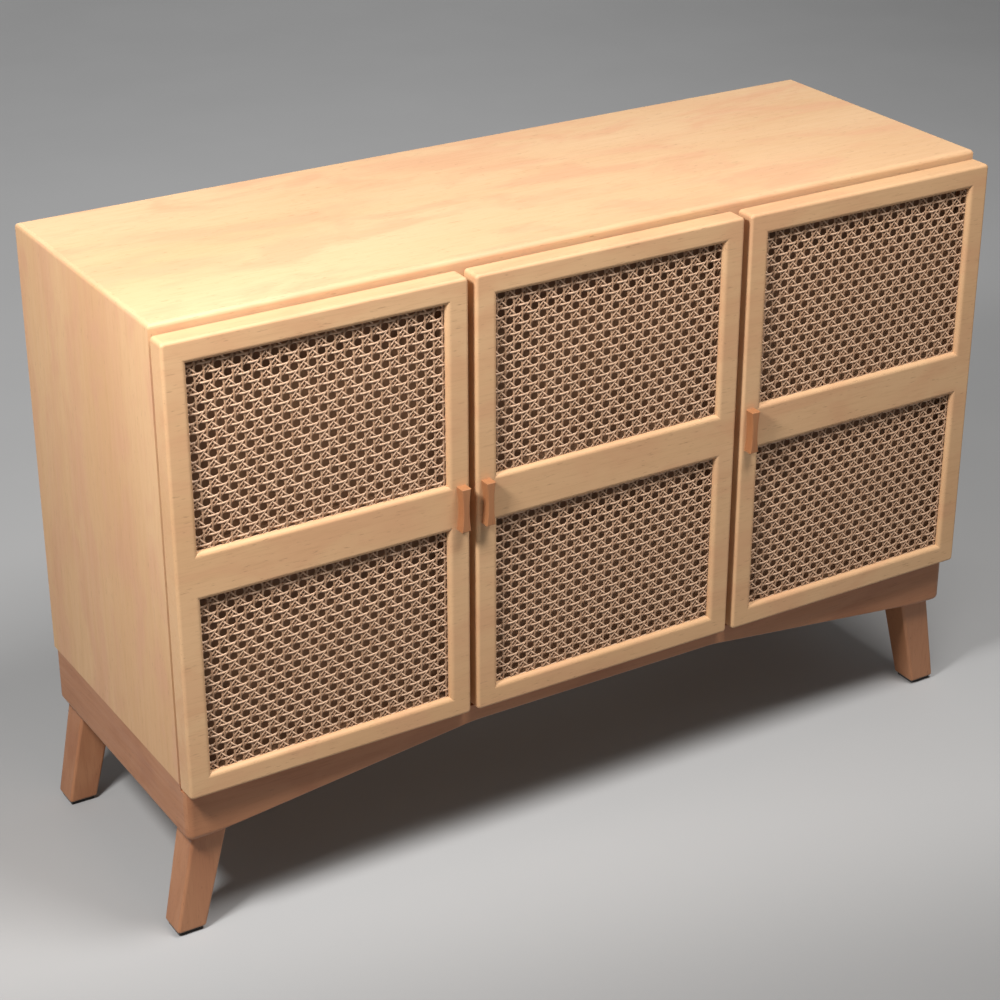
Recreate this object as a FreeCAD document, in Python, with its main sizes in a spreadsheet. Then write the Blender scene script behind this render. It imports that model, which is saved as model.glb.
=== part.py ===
import FreeCAD, Part
import os
import re

# Three-door sideboard with cane door panels, an arched plinth and splayed legs.
# The frame is +Z up with the origin on the floor, under the middle of the whole cabinet.
# The front faces -Y, and every size is in millimetres.

doc = FreeCAD.newDocument("sideboard")
dims = doc.addObject("Spreadsheet::Sheet", "dims")

DIMENSIONS = {
    # carcass
    "carcass_width": 1200,
    "carcass_depth": 396,
    "carcass_height": 598,
    "panel_thickness": 18,
    "panel_round": 6,
    "back_thickness": 6,
    "back_inset": 4,
    "back_rebate": 8,
    "post_width": 44,
    "shelf_setback": 26,
    "shelf_play": 1,
    "shelf_rise": 290,
    "pin_radius": 2.5,
    "pin_length": 18,
    "pin_sunk": 10,
    "pin_from_edge": 60,
    "dowel_radius": 4,
    "dowel_length": 30,
    "dowel_sunk": 10,
    "dowel_from_edge": 60,
    # plinth and legs
    "plinth_height": 79,
    "plinth_inset": 1,
    "plinth_reach": 14.5,
    "plinth_wall": 19,
    "plinth_corner": 10,
    "plinth_edge": 8.5,
    "arch_rise": 45,
    "arch_flat": 380,
    "arch_foot": 14,
    "arch_bend": 150,
    "arch_edge": 3,
    "leg_height": 141,
    "leg_top": 47,
    "leg_foot": 40,
    "leg_splay": 31.5,
    "leg_from_side": 36.5,
    "leg_from_front": 22,
    "leg_from_back": 26,
    "leg_round": 4,
    "leg_screw_radius": 2.5,
    "leg_screw_head": 4.5,
    "leg_screw_bite": 14,
    "leg_screw_proud": 0.4,
    "leg_screw_low": 30,
    "leg_screw_high": 58,
    "pad_size": 32,
    "pad_thickness": 5,
    # doors
    "door_thickness": 29,
    "door_standoff": 4,
    "door_spacing": 10,
    "door_below_top": 11.5,
    "door_overhang": 6.5,
    "door_floor_gap": 3,
    "door_clear": 1,
    "door_corner": 5,
    "door_round": 4,
    "door_back_round": 2,
    "frame_width": 30,
    "middle_rail_width": 62,
    "frame_bevel": 6,
    "lip_depth": 6.5,
    "lip_width": 3.5,
    "cane_thickness": 2.4,
    "cane_pitch": 11.85,
    "cane_hole": 8.4,
    "cane_columns": 28,
    "upper_cane_rows": 21,
    "lower_cane_rows": 20,
    "cane_margin": 1,
    "cane_play": 0.2,
    "board_thickness": 3,
    "pull_height": 58,
    "pull_width": 13,
    "pull_waist": 8.5,
    "pull_depth": 13.4,
    "pull_round": 1,
    "pull_from_edge": 12.6,
    "pull_screw_radius": 1.75,
    "pull_screw_head": 3.5,
    "pull_screw_bite": 9,
    "pull_screw_spacing": 32,
    # hinges
    "hinge_from_end": 75,
    "hinge_from_edge": 8.5,
    "hinge_from_back": 12.5,
    "hinge_pin_radius": 2,
    "hinge_bore_radius": 2.05,
    "eye_radius": 3.5,
    "arm_height": 10,
    "strap_thickness": 2,
    "strap_crank": 14.6,
    "arm_plate_thickness": 3,
    "arm_plate_height": 40,
    "arm_plate_start": 20,
    "arm_plate_length": 30,
    "cup_wall": 1,
    "cup_left": 4,
    "cup_right": 16,
    "cup_headroom": 0.5,
    "ear_height": 9,
    "ear_width": 12,
    "ear_thickness": 1.2,
    "hinge_screw_radius": 2,
    "hinge_screw_head": 3.5,
    "hinge_screw_bite": 12,
    "hinge_screw_spacing": 30,
    "block_thickness": 14,
    "block_height": 52,
    "block_length": 52,
    "block_start": 8,
    # how far a cutting block runs past the face that it cuts
    "cut_past": 1,
}

for row, (alias, number) in enumerate(DIMENSIONS.items(), start=1):
    dims.set(f"A{row}", alias.replace("_", " "))
    dims.set(f"B{row}", str(number))
    dims.setAlias(f"B{row}", alias)
doc.recompute()

# Places worked out from the driving dimensions, as formulas on the sheet's cells
HALF_WIDTH = "(carcass_width / 2)"
FRONT = "((pull_depth + door_thickness + door_standoff - carcass_depth) / 2)"
BACK = f"({FRONT} + carcass_depth)"
PLINTH_BOTTOM = "(pad_thickness + leg_height)"
BASE = f"({PLINTH_BOTTOM} + plinth_height)"
TOP = f"({BASE} + carcass_height)"
INNER_HALF = f"({HALF_WIDTH} - panel_thickness)"
INNER_BOTTOM = f"({BASE} + panel_thickness)"
INNER_TOP = f"({TOP} - panel_thickness)"
BACK_FACE = f"({BACK} - back_inset - back_thickness)"
DOOR_WIDTH = "((carcass_width - 2 * door_spacing) / 3)"
DOOR_HEIGHT = "(carcass_height - door_below_top + door_overhang)"
DOOR_BOTTOM = f"({BASE} - door_overhang)"
DOOR_FRONT = f"({FRONT} - door_standoff - door_thickness)"
OPENING_WIDTH = f"({DOOR_WIDTH} - 2 * frame_width)"
OPENING_HEIGHT = f"(({DOOR_HEIGHT} - 2 * frame_width - middle_rail_width) / 2)"
UPPER_START = f"(frame_width + {OPENING_HEIGHT} + middle_rail_width)"
GAP_CENTRE = f"({DOOR_WIDTH} / 2 + door_spacing / 2)"
PIN_Y = f"({FRONT} - door_standoff - hinge_from_back)"
SHELF_BOTTOM = f"({INNER_BOTTOM} + shelf_rise)"


def formula(text):
    """The text with each dimension's name turned into a reference to its cell."""
    return re.sub(r"[a-z]\w+", lambda word: "dims." + word.group(0), str(text))


def size(text):
    """The number that a formula gives with the sheet's present values."""
    return float(dims.evalExpression(formula(text)))


def bind(item, **cells):
    for prop, text in cells.items():
        item.setExpression(prop.replace("__", "."), formula(text))
    return item


def place(item, at):
    for axis, text in zip("xyz", at):
        item.setExpression(f"Placement.Base.{axis}", formula(text))
    return item


def box(name, lengths, at):
    block = doc.addObject("Part::Box", name)
    bind(block, Length=lengths[0], Width=lengths[1], Height=lengths[2])
    return place(block, at)


def rod(name, radius, length, at, direction=(0, 0, 1)):
    cylinder = doc.addObject("Part::Cylinder", name)
    bind(cylinder, Radius=radius, Height=length)
    up = FreeCAD.Vector(0, 0, 1)
    cylinder.Placement.Rotation = FreeCAD.Rotation(up, FreeCAD.Vector(*direction))
    return place(cylinder, at)


def wedge(name, x, y, z, far_x, far_z, kind="Part::Wedge", body=None):
    """A block whose x and z ranges change evenly from the start to the end of its y range."""
    block = body.newObject(kind, name) if body else doc.addObject(kind, name)
    for prop, span in {"X": x, "Y": y, "Z": z, "X2": far_x, "Z2": far_z}.items():
        bind(block, **{prop + "min": span[0], prop + "max": span[1]})
    return block


def cut(name, base, tool):
    feature = doc.addObject("Part::Cut", name)
    feature.Base = base
    feature.Tool = tool
    return feature


def common(name, base, tool):
    feature = doc.addObject("Part::Common", name)
    feature.Base = base
    feature.Tool = tool
    return feature


def fuse(name, items):
    feature = doc.addObject("Part::MultiFuse", name)
    feature.Shapes = items
    return feature


def group(name, items):
    feature = doc.addObject("Part::Compound", name)
    feature.Links = items
    return feature


def rounded(body, name, feature, radius, chosen):
    """A fillet on those edges of a feature that pass the chosen test."""
    doc.recompute()
    edges = [f"Edge{n}" for n, edge in enumerate(feature.Shape.Edges, start=1) if chosen(edge)]
    fillet = body.newObject("PartDesign::Fillet", name)
    fillet.Base = (feature, edges)
    return bind(fillet, Radius=radius)


def body_box(body, kind, name, lengths, at):
    block = body.newObject("PartDesign::" + kind, name)
    bind(block, Length=lengths[0], Width=lengths[1], Height=lengths[2])
    return place(block, at)


def near(value, target):
    return abs(value - target) < 0.01


def is_along(edge, axis):
    """True for a straight edge that runs along one axis: 0 for x, 1 for y, 2 for z."""
    ends = [vertex.Point for vertex in edge.Vertexes]
    if len(ends) != 2:
        return False
    return all(near(ends[0][k], ends[1][k]) for k in range(3) if k != axis)


sub_parts = []


def finish(item, label, solids=1):
    """Give a finished sub-part its label, and note how many separate solids it holds."""
    item.Label = label
    sub_parts.append((item, solids))
    return item


# Carcass: top and sides are mitred, with the back let into a rebate
def build_carcass():
    block = doc.addObject("PartDesign::Body", "carcass_block")
    outside = body_box(block, "AdditiveBox", "carcass_outside",
                       ("carcass_width", "carcass_depth", "carcass_height"),
                       (f"-{HALF_WIDTH}", FRONT, BASE))
    top_height = size(TOP)
    rounded(block, "carcass_arrises", outside, "panel_round",
            lambda edge: near(edge.BoundBox.ZMin, top_height))
    inside = box("carcass_inside",
                 (f"2 * {INNER_HALF}", "2 * carcass_depth", "carcass_height"),
                 (f"-{INNER_HALF}", f"{FRONT} - carcass_depth / 2", f"{BASE} - panel_thickness"))
    shell = cut("carcass_shell", block, inside)
    rebate = box("back_rebate_space",
                 (f"2 * ({INNER_HALF} + back_rebate)", "back_inset + back_thickness",
                  "carcass_height - panel_thickness + back_rebate"),
                 (f"-({INNER_HALF} + back_rebate)", BACK_FACE, BASE))
    rebated = cut("rebated_shell", shell, rebate)
    mitre = wedge("top_mitre", (f"-{INNER_HALF}", INNER_HALF), (INNER_TOP, TOP),
                  (f"-{BACK}", f"-{FRONT}"), (f"-{HALF_WIDTH}", HALF_WIDTH),
                  (f"-{BACK}", f"-{FRONT}"))
    mitre.Placement.Rotation = FreeCAD.Rotation(FreeCAD.Vector(1, 0, 0), 90)
    top = common("top_board", rebated, mitre)
    sides = cut("side_boards", rebated, mitre)
    half = {}
    for side, start in (("left", "-carcass_width"), ("right", "0")):
        region = box(f"{side}_half", ("carcass_width", "2 * carcass_depth", f"2 * {TOP}"),
                     (start, f"{FRONT} - carcass_depth / 2", "0"))
        half[side] = common(f"{side}_side_board", sides, region)
    bottom = box("bottom_board",
                 (f"2 * {INNER_HALF}", f"{BACK_FACE} - {FRONT}", "panel_thickness"),
                 (f"-{INNER_HALF}", FRONT, BASE))
    divider = box("divider_board",
                  ("panel_thickness", f"{BACK_FACE} - {FRONT}", f"{INNER_TOP} - {INNER_BOTTOM}"),
                  (f"{GAP_CENTRE} - panel_thickness / 2", FRONT, INNER_BOTTOM))
    back = box("back_board",
               (f"2 * ({INNER_HALF} + back_rebate)", "back_thickness",
                "carcass_height - panel_thickness + back_rebate"),
               (f"-({INNER_HALF} + back_rebate)", BACK_FACE, BASE))
    post = box("post_board",
               ("post_width", "panel_thickness", f"{INNER_TOP} - {INNER_BOTTOM}"),
               (f"-{GAP_CENTRE} - post_width / 2", FRONT, INNER_BOTTOM))
    return top, half["left"], half["right"], bottom, divider, back, post


# Dowels that hold the bottom to the sides, and the divider and post to the top and bottom
def build_dowels():
    dowels = []
    rows = (f"{FRONT} + dowel_from_edge", f"{FRONT} + carcass_depth / 2", f"{BACK_FACE} - dowel_from_edge")
    for n, y in enumerate(rows):
        for side, direction in (("left", -1), ("right", 1)):
            start = f"{direction} * ({INNER_HALF} + dowel_sunk)"
            dowels.append(rod(f"{side}_dowel_{n}", "dowel_radius", "dowel_length",
                              (start, y, f"{BASE} + panel_thickness / 2"), (-direction, 0, 0)))
        for end, z in (("low", f"{INNER_BOTTOM} - dowel_sunk"),
                       ("high", f"{INNER_TOP} + dowel_sunk - dowel_length")):
            dowels.append(rod(f"divider_{end}_dowel_{n}", "dowel_radius", "dowel_length",
                              (GAP_CENTRE, y, z)))
    for end, z in (("low", f"{INNER_BOTTOM} - dowel_sunk"),
                   ("high", f"{INNER_TOP} + dowel_sunk - dowel_length")):
        dowels.append(rod(f"post_{end}_dowel", "dowel_radius", "dowel_length",
                          (f"-{GAP_CENTRE}", f"{FRONT} + panel_thickness / 2", z)))
    return dowels


# Shelves rest on pins let into the panels on both sides of each bay
def build_shelves():
    bays = {
        "left_bay": (f"(-{INNER_HALF})", f"({GAP_CENTRE} - panel_thickness / 2)"),
        "right_bay": (f"({GAP_CENTRE} + panel_thickness / 2)", INNER_HALF),
    }
    shelves = {}
    pins = []
    for bay, (start, end) in bays.items():
        shelves[bay] = box(f"{bay}_shelf_board",
                           (f"{end} - {start} - 2 * shelf_play",
                            f"{BACK_FACE} - {FRONT} - shelf_setback - shelf_play", "panel_thickness"),
                           (f"{start} + shelf_play", f"{FRONT} + shelf_setback", SHELF_BOTTOM))
        for n, y in enumerate((f"{FRONT} + pin_from_edge", f"{BACK_FACE} - pin_from_edge")):
            z = f"{SHELF_BOTTOM} - pin_radius"
            # the two bays' pins in the divider meet end to end inside it
            sunk = {"left": "pin_sunk", "right": "pin_sunk"}
            sunk["right" if bay == "left_bay" else "left"] = "panel_thickness / 2"
            pins.append(rod(f"{bay}_left_pin_{n}", "pin_radius", f"{sunk['left']} + pin_length - pin_sunk",
                            (f"{start} - {sunk['left']}", y, z), (1, 0, 0)))
            pins.append(rod(f"{bay}_right_pin_{n}", "pin_radius", f"{sunk['right']} + pin_length - pin_sunk",
                            (f"{end} + {sunk['right']}", y, z), (-1, 0, 0)))
    return shelves, pins


# Plinth: a mitred frame with rounded corners, arched between the legs at the front and back
def build_plinth():
    half = f"({HALF_WIDTH} - plinth_inset)"
    face = f"({FRONT} - plinth_reach)"
    ring = doc.addObject("PartDesign::Body", "plinth_ring")
    outside = body_box(ring, "AdditiveBox", "plinth_outside",
                       (f"2 * {half}", f"{BACK} - {face}", "plinth_height"),
                       (f"-{half}", face, PLINTH_BOTTOM))
    corners = rounded(ring, "plinth_corners", outside, "plinth_corner", lambda edge: is_along(edge, 2))
    foot_height = size(PLINTH_BOTTOM)
    rounded(ring, "plinth_edges", corners, "plinth_edge",
            lambda edge: near(edge.BoundBox.ZMax, foot_height))
    arch = wedge("arch_space", (f"arch_foot - {half}", f"{half} - arch_foot"),
                 (PLINTH_BOTTOM, f"{PLINTH_BOTTOM} + arch_rise"), ("-carcass_depth", "carcass_depth"),
                 ("-arch_flat / 2", "arch_flat / 2"), ("-carcass_depth", "carcass_depth"),
                 kind="PartDesign::SubtractiveWedge", body=ring)
    arch.Placement.Rotation = FreeCAD.Rotation(FreeCAD.Vector(1, 0, 0), 90)
    bend_height = foot_height + size("arch_rise")
    bends = rounded(ring, "arch_bends", arch, "arch_bend",
                    lambda edge: is_along(edge, 1) and near(edge.CenterOfMass.z, bend_height))
    arch_start = size(f"{half} - arch_foot")
    room = size("cut_past")
    rounded(ring, "arch_edges", bends, "arch_edge",
            lambda edge: near(edge.BoundBox.YLength, 0) and edge.BoundBox.XLength > size("arch_foot")
            and edge.BoundBox.ZMax < bend_height + room and edge.BoundBox.XMax < arch_start + room)
    body_box(ring, "SubtractiveBox", "plinth_inside",
             (f"2 * ({half} - plinth_wall)", f"{BACK} - {face} - 2 * plinth_wall", "2 * plinth_height"),
             (f"plinth_wall - {half}", f"{face} + plinth_wall", f"{PLINTH_BOTTOM} - plinth_height / 2"))
    door_space = box("door_space", ("carcass_width", "plinth_reach", "2 * door_overhang"),
                     (f"-{HALF_WIDTH}", f"{FRONT} - door_clear - plinth_reach",
                      f"{DOOR_BOTTOM} - door_floor_gap"))
    rebated = cut("rebated_plinth", ring, door_space)
    tall = (f"{PLINTH_BOTTOM} - cut_past", f"{BASE} + cut_past")
    wide = (f"-{half}", half)
    narrow = (f"plinth_wall - {half}", f"{half} - plinth_wall")
    front_mitre = wedge("front_mitre", wide, (face, f"{face} + plinth_wall"), tall, narrow, tall)
    rear_mitre = wedge("rear_mitre", narrow, (f"{BACK} - plinth_wall", BACK), tall, wide, tall)
    front = common("front_apron_board", rebated, front_mitre)
    rear = common("rear_apron_board", rebated, rear_mitre)
    sides = cut("plinth_sides", rebated, group("end_mitres", [front_mitre, rear_mitre]))
    rails = [common(f"{side}_plinth_board", sides, doc.getObject(f"{side}_half"))
             for side in ("left", "right")]
    return ring, front, rear, rails


def leg_x(side, height):
    """Where the middle of a leg stands at a height above the floor."""
    rise = f"({height} - pad_thickness) / leg_height"
    return f"({side} * ({HALF_WIDTH} - leg_from_side + leg_splay - leg_splay * {rise}))"


def leg_half(height):
    """Half the thickness of a leg at a height above the floor."""
    return f"((leg_foot + (leg_top - leg_foot) * ({height} - pad_thickness) / leg_height) / 2)"


# A leg is a square post, tapered towards the foot, that leans out to its own side
def build_leg(name, side, centre_y, ring):
    post = doc.addObject("PartDesign::Body", f"{name}_post")
    foot_x = leg_x(side, "pad_thickness")
    top_x = leg_x(side, BASE)
    top_half = leg_half(BASE)
    block = wedge(f"{name}_block",
                  (f"{centre_y} - leg_foot / 2", f"{centre_y} + leg_foot / 2"),
                  ("pad_thickness", BASE),
                  (f"{foot_x} - leg_foot / 2", f"{foot_x} + leg_foot / 2"),
                  (f"{centre_y} - {top_half}", f"{centre_y} + {top_half}"),
                  (f"{top_x} - {top_half}", f"{top_x} + {top_half}"),
                  kind="PartDesign::AdditiveWedge", body=post)
    block.Placement.Rotation = FreeCAD.Rotation(FreeCAD.Vector(1, 1, 1), 120)
    head = size(f"{BASE} - cut_past")
    rounded(post, f"{name}_arrises", block, "leg_round", lambda edge: edge.CenterOfMass.z < head)
    return cut(f"{name}_fitted", post, ring)


# Two screws go through each leg into the apron that it stands behind
def leg_screws(name, side, outward, centre_y, apron_inner):
    screws = []
    tip = f"({apron_inner} + {outward} * leg_screw_bite)"
    for level in ("low", "high"):
        z = f"({PLINTH_BOTTOM} + leg_screw_{level})"
        x = leg_x(side, z)
        top = f"({centre_y} - {outward} * ({leg_half(z)} + leg_screw_proud))"
        shank = rod(f"{name}_{level}_shank", "leg_screw_radius", f"{outward} * ({tip} - {top})",
                    (x, tip, z), (0, -outward, 0))
        head = rod(f"{name}_{level}_head", "leg_screw_head", "leg_screw_radius",
                   (x, top, z), (0, outward, 0))
        screws.append(fuse(f"{name}_{level}_screw", [shank, head]))
    return screws


# Door frame seen from its lower left front corner: two openings, each with a rounded inner edge
def build_door_frame(name):
    frame = doc.addObject("PartDesign::Body", name)
    slab = body_box(frame, "AdditiveBox", f"{name}_slab", (DOOR_WIDTH, "door_thickness", DOOR_HEIGHT),
                    ("0", "0", "0"))
    corners = rounded(frame, f"{name}_corners", slab, "door_corner", lambda edge: is_along(edge, 1))
    front = rounded(frame, f"{name}_arrises", corners, "door_round",
                    lambda edge: not is_along(edge, 1) and near(edge.CenterOfMass.y, 0))
    back = size("door_thickness")
    rounded(frame, f"{name}_back_arrises", front, "door_back_round",
            lambda edge: not is_along(edge, 1) and near(edge.BoundBox.YMin, back))
    for opening, start in (("lower", "frame_width"), ("upper", UPPER_START)):
        last = body_box(frame, "SubtractiveBox", f"{name}_{opening}_opening",
                        (OPENING_WIDTH, "2 * door_thickness", OPENING_HEIGHT),
                        ("frame_width", "-door_thickness / 2", start))
    margin = size("frame_width - door_round")
    width, height = size(DOOR_WIDTH), size(DOOR_HEIGHT)
    rounded(frame, f"{name}_bevels", last, "frame_bevel",
            lambda edge: near(edge.CenterOfMass.y, 0) and not is_along(edge, 1)
            and margin < edge.CenterOfMass.x < width - margin
            and margin < edge.CenterOfMass.z < height - margin)
    for opening, start in (("lower", "frame_width"), ("upper", UPPER_START)):
        body_box(frame, "SubtractiveBox", f"{name}_{opening}_rebate",
                 (f"{OPENING_WIDTH} + 2 * lip_width", "door_thickness", f"{OPENING_HEIGHT} + 2 * lip_width"),
                 ("frame_width - lip_width", "lip_depth", f"{start} - lip_width"))
    return frame


def member_regions():
    """The pieces that a door frame is cut into: stiles run full height, with rails between."""
    depth = "3 * door_thickness"
    full = ("-cut_past", f"{DOOR_HEIGHT} + 2 * cut_past")
    edge = "frame_width + cut_past"
    spans = {
        "left_stile": ("-cut_past", edge, *full),
        "right_stile": (f"{DOOR_WIDTH} - frame_width", edge, *full),
        "bottom_rail": ("frame_width", OPENING_WIDTH, "-cut_past", edge),
        "middle_rail": ("frame_width", OPENING_WIDTH, f"frame_width + {OPENING_HEIGHT} / 2",
                        f"middle_rail_width + {OPENING_HEIGHT}"),
        "top_rail": ("frame_width", OPENING_WIDTH, f"{DOOR_HEIGHT} - frame_width", edge),
    }
    return {name: box(f"{name}_region", (width, depth, height), (x, "-door_thickness", z))
            for name, (x, width, z, height) in spans.items()}


# Cane webbing: octagonal holes at every other cell, chequerwise, in one flat net
def cane_net(rows):
    half_width = size(f"{OPENING_WIDTH} / 2 + lip_width - cane_play")
    half_height = size(f"{OPENING_HEIGHT} / 2 + lip_width - cane_play")
    pitch = size("cane_pitch")
    flat = size("cane_hole / 2")
    corner = flat * (2 ** 0.5 - 1)
    octagon = [(flat, -corner), (flat, corner), (corner, flat), (-corner, flat),
               (-flat, corner), (-flat, -corner), (-corner, -flat), (corner, -flat)]
    columns = round(size("cane_columns"))
    limit = size(f"{OPENING_HEIGHT} / 2 + cane_margin")
    outline = [(-half_width, -half_height), (half_width, -half_height),
               (half_width, half_height), (-half_width, half_height)]

    def loop(points):
        corners = [FreeCAD.Vector(x, 0, z) for x, z in points]
        return Part.makePolygon(corners + corners[:1])

    holes = []
    for row in range(rows):
        for column in range(columns):
            if (row + column) % 2:
                continue
            x = (column - (columns - 1) / 2) * pitch
            z = ((rows - 1) / 2 - row) * pitch
            ring = [(x + dx, max(-limit, min(limit, z + dz))) for dx, dz in octagon]
            holes.append(loop(ring[::-1]))
    sheet = Part.Face([loop(outline)] + holes)
    return sheet.extrude(FreeCAD.Vector(0, size("cane_thickness"), 0))


# Beads hold the cane against the lip, and boards close the back of each opening
def build_door_backing():
    beads = []
    boards = []
    for opening, start in (("lower", "frame_width"), ("upper", UPPER_START)):
        wide = f"{OPENING_WIDTH} + 2 * (lip_width - cane_play)"
        high = f"{OPENING_HEIGHT} + 2 * (lip_width - cane_play)"
        corner_x = "frame_width - lip_width + cane_play"
        corner_z = f"{start} - lip_width + cane_play"
        bead_start = "(lip_depth + cane_thickness)"
        bead_depth = f"(door_thickness - board_thickness - {bead_start})"
        block = box(f"{opening}_bead_block", (wide, bead_depth, high), (corner_x, bead_start, corner_z))
        space = box(f"{opening}_bead_space", (OPENING_WIDTH, f"2 * {bead_depth}", OPENING_HEIGHT),
                    ("frame_width", "lip_depth", start))
        beads.append(cut(f"{opening}_bead", block, space))
        boards.append(box(f"{opening}_board", (wide, "board_thickness", high),
                          (corner_x, "door_thickness - board_thickness", corner_z)))
    return beads, boards


# Pull: an upright block with hollowed sides, so that it is slimmest at mid height
def build_pull(name, at):
    pull = doc.addObject("PartDesign::Body", name)
    block = body_box(pull, "AdditiveBox", f"{name}_block", ("pull_width", "pull_depth", "pull_height"),
                     ("-pull_width / 2", "-pull_depth", "-pull_height / 2"))
    dip = "((pull_width - pull_waist) / 2)"
    hollow = f"((pull_height * pull_height / 4 + {dip} * {dip}) / (2 * {dip}))"
    for side, sign in (("left", -1), ("right", 1)):
        scoop = pull.newObject("PartDesign::SubtractiveCylinder", f"{name}_{side}_scoop")
        bind(scoop, Radius=hollow, Height="4 * pull_depth")
        scoop.Placement.Rotation = FreeCAD.Rotation(FreeCAD.Vector(1, 0, 0), 90)
        place(scoop, (f"{sign} * (pull_waist / 2 + {hollow})", "2 * pull_depth", "0"))
    face = -size("pull_depth")
    rounded(pull, f"{name}_arrises", scoop, "pull_round",
            lambda edge: near(edge.CenterOfMass.y, face))
    return place(pull, at)


# Hinge cup, in door coordinates: a steel box let into the stile, with its pin and two ears
def hinge_cup(name, pin_x, inward, z):
    pin_y = "(door_thickness - hinge_from_back)"
    near_side = "cup_left" if inward > 0 else "cup_right"
    wide = "(cup_left + cup_right)"
    tall = "(arm_height + 2 * cup_headroom)"
    deep = "(hinge_from_back + cup_left)"
    start_x = f"({pin_x} - {near_side})"
    start_y = f"({pin_y} - cup_left)"
    outer = box(f"{name}_outer", (f"{wide} + 2 * cup_wall", f"{deep} + cup_wall", f"{tall} + 2 * cup_wall"),
                (f"{start_x} - cup_wall", f"{start_y} - cup_wall", f"{z} - {tall} / 2 - cup_wall"))
    inner = box(f"{name}_inner", (wide, f"{deep} + cut_past", tall), (start_x, start_y, f"{z} - {tall} / 2"))
    shell = cut(f"{name}_shell", outer, inner)
    pin = rod(f"{name}_pin", "hinge_pin_radius", f"{tall} + cup_wall",
              (pin_x, pin_y, f"{z} - {tall} / 2 - cup_wall / 2"))
    ear_x = f"{start_x} + {wide} / 2 - ear_width / 2"
    plate_height = f"({tall} + 2 * cup_wall)"
    ears = [box(f"{name}_{end}_ear", ("ear_width", "ear_thickness", "ear_height + cup_wall"),
                (ear_x, "door_thickness", ear_z))
            for end, ear_z in (("upper", f"{z} + {tall} / 2"),
                               ("lower", f"{z} - {plate_height} / 2 - ear_height"))]
    cup = fuse(f"{name}_cup", [shell, pin] + ears)
    screws = []
    for end, sign in (("upper", 1), ("lower", -1)):
        place_z = f"{z} + {sign} * ({plate_height} / 2 + ear_height / 2)"
        at = (f"{start_x} + {wide} / 2", "door_thickness + ear_thickness", place_z)
        shank = rod(f"{name}_{end}_shank", "pull_screw_radius", "hinge_screw_bite", at, (0, -1, 0))
        head = rod(f"{name}_{end}_head", "pull_screw_head", "ear_thickness", at, (0, 1, 0))
        screws.append(fuse(f"{name}_{end}_screw", [shank, head]))
    return outer, cup, screws


# Screws that hold the pull from behind, with their heads sunk into the back of the stile
def pull_screws(name, x, z):
    screws = []
    for end, sign in (("upper", 1), ("lower", -1)):
        level = f"{z} + {sign} * pull_screw_spacing / 2"
        shank = rod(f"{name}_{end}_pull_shank", "pull_screw_radius", "door_thickness + pull_screw_bite",
                    (x, "-pull_screw_bite", level), (0, 1, 0))
        head = rod(f"{name}_{end}_pull_head", "pull_screw_head", "pull_screw_radius",
                   (x, "door_thickness - pull_screw_radius", level), (0, 1, 0))
        screws.append(fuse(f"{name}_{end}_pull_screw", [shank, head]))
    return screws


# Hinge arm: an eye on the pin, a cranked strap and a plate screwed to the panel beside it
def hinge_arm(name, pin_x, inward, z):
    half_strap = "(strap_thickness / 2)"
    bottom = f"{z} - arm_height / 2"
    plate_y = f"{FRONT} + arm_plate_start"
    panel_gap = "(panel_thickness - hinge_from_edge)"

    def across(item, start, width, y, depth, low, height):
        """A block measured from the pin towards the inside of the bay."""
        edge = start if inward > 0 else f"({start} + {width})"
        return box(f"{name}_{item}", (width, depth, height), (f"{pin_x} + {inward} * {edge}", y, low))

    eye = rod(f"{name}_eye", "eye_radius", "arm_height", (pin_x, PIN_Y, bottom))
    strap_reach = f"{plate_y} + arm_plate_length - {PIN_Y}"
    solids = [
        eye,
        across("crank", "0", f"(strap_crank + {half_strap})", f"{PIN_Y} - {half_strap}", "strap_thickness",
               bottom, "arm_height"),
        across("strap", f"(strap_crank - {half_strap})", "strap_thickness", f"{PIN_Y} - {half_strap}",
               f"{strap_reach} + {half_strap}", bottom, "arm_height"),
        across("boss", panel_gap, f"(strap_crank - {panel_gap})", plate_y, "arm_plate_length",
               bottom, "arm_height"),
        across("plate", panel_gap, "arm_plate_thickness", plate_y, "arm_plate_length",
               f"{z} - arm_plate_height / 2", "arm_plate_height"),
    ]
    bore = rod(f"{name}_bore", "hinge_bore_radius", "2 * arm_height", (pin_x, PIN_Y, f"{z} - arm_height"))
    arm = cut(f"{name}_arm", fuse(f"{name}_solid", solids), bore)
    screws = []
    for end, sign in (("upper", 1), ("lower", -1)):
        head_x = f"{pin_x} + {inward} * ({panel_gap} + arm_plate_thickness)"
        at = (head_x, f"{plate_y} + arm_plate_length / 2", f"{z} + {sign} * hinge_screw_spacing / 2")
        shank = rod(f"{name}_{end}_shank", "hinge_screw_radius", "hinge_screw_bite", at, (-inward, 0, 0))
        head = rod(f"{name}_{end}_head", "hinge_screw_head", "hinge_screw_radius", at, (inward, 0, 0))
        screws.append(fuse(f"{name}_{end}_screw", [shank, head]))
    return arm, screws


HINGE_LEVELS = {"lower": "hinge_from_end", "upper": f"({DOOR_HEIGHT} - hinge_from_end)"}
LEFT_PIN = "hinge_from_edge"
RIGHT_PIN = f"({DOOR_WIDTH} - hinge_from_edge)"
DOORS = {
    # door: place of its left edge, which stile carries the hinges
    "left_door": (f"-{HALF_WIDTH}", "left"),
    "middle_door": (f"-{DOOR_WIDTH} / 2", "right"),
    "right_door": (f"{HALF_WIDTH} - {DOOR_WIDTH}", "right"),
}


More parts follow.
